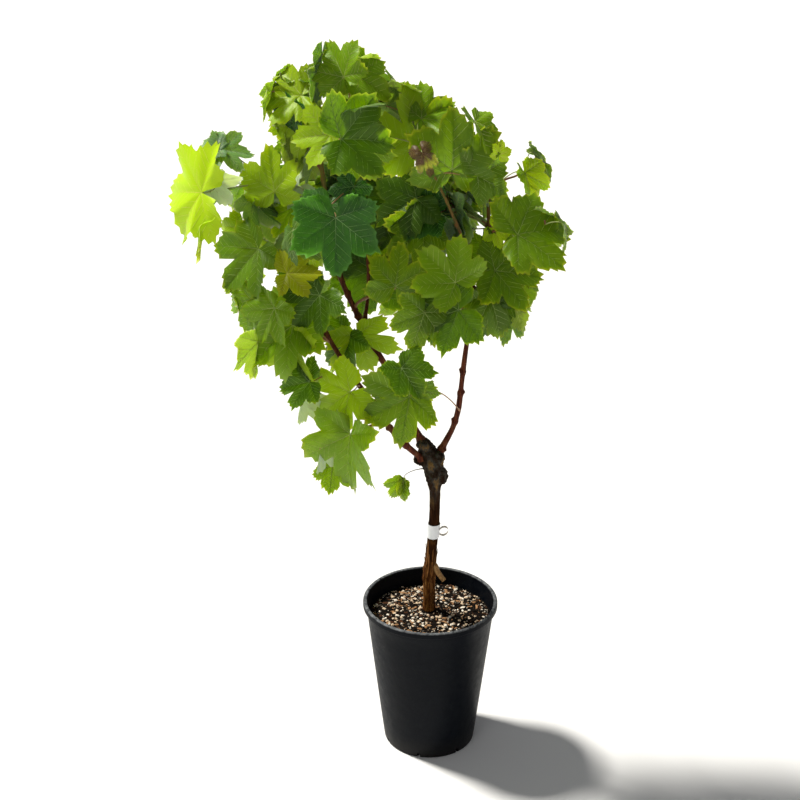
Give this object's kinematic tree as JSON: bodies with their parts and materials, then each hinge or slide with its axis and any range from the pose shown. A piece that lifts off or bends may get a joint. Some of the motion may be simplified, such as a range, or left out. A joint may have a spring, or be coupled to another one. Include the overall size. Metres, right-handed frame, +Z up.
{
  "type": "potted grapevine",
  "caption": "Young grafted grapevine in a tall round nursery pot, with a swollen stem head, red-brown canes and an open, leaning head of lobed leaves.",
  "frame": {"origin": "centre of the pot's flat underside, on the surface it stands on", "axes": "+Z up along the plant; -Y is the front; the head of leaves leans towards -X"},
  "size_m": [0.5817, 0.3662, 1.1766],
  "materials": {
    "pot": "moulded black nursery plastic, lightly scuffed, with a soft shine",
    "potting_mix": "moist dark bark mix with pale chips and fine gravel",
    "bark": "rough ridged bark, orange-tan and peeling at the foot, dark grey-brown on the head",
    "cut_wood": "dry pale wood of a pruned stub",
    "cane": "smooth red-brown cane bark with fine ribs and swollen nodes",
    "label": "plain white plastic film band",
    "leaves": "matt lobed leaves from bright yellow-green to dark blue-green, with pale veins and paler undersides"
  },
  "bodies": {
    "root": {"pot": "pot", "potting_mix": "potting_mix", "trunk": "bark", "pruned_stub": "cut_wood", "stem_label": "label", "cane_left": "cane", "cane_centre": "cane", "cane_right": "cane", "shoot_front": "cane", "shoot_back": "cane", "shoot_back_right": "cane", "leaves_top_right": "leaves", "leaves_top_left": "leaves", "leaves_high_left": "leaves", "leaves_left_tip": "leaves", "leaves_left_shoulder": "leaves", "leaves_left_side": "leaves", "leaves_left_bottom": "leaves", "leaves_bottom_tip": "leaves", "leaves_right_tip": "leaves", "leaves_right_outer": "leaves", "leaves_right_lower": "leaves", "leaves_upper_right": "leaves", "leaves_upper_middle": "leaves", "leaves_front_high": "leaves", "leaves_front_middle": "leaves", "leaves_front_low": "leaves", "leaves_low_left": "leaves", "leaves_inner_left": "leaves", "leaves_upper_left": "leaves", "leaves_middle_left": "leaves", "leaves_low_middle": "leaves", "leaves_middle": "leaves", "leaves_right_middle": "leaves", "leaves_right_inner": "leaves", "leaves_back_top": "leaves", "leaves_back_left": "leaves", "leaves_back_middle": "leaves", "leaves_back_right": "leaves", "leaves_back_low": "leaves", "leaf_hanging": "leaves"}
  },
  "joints": []
}
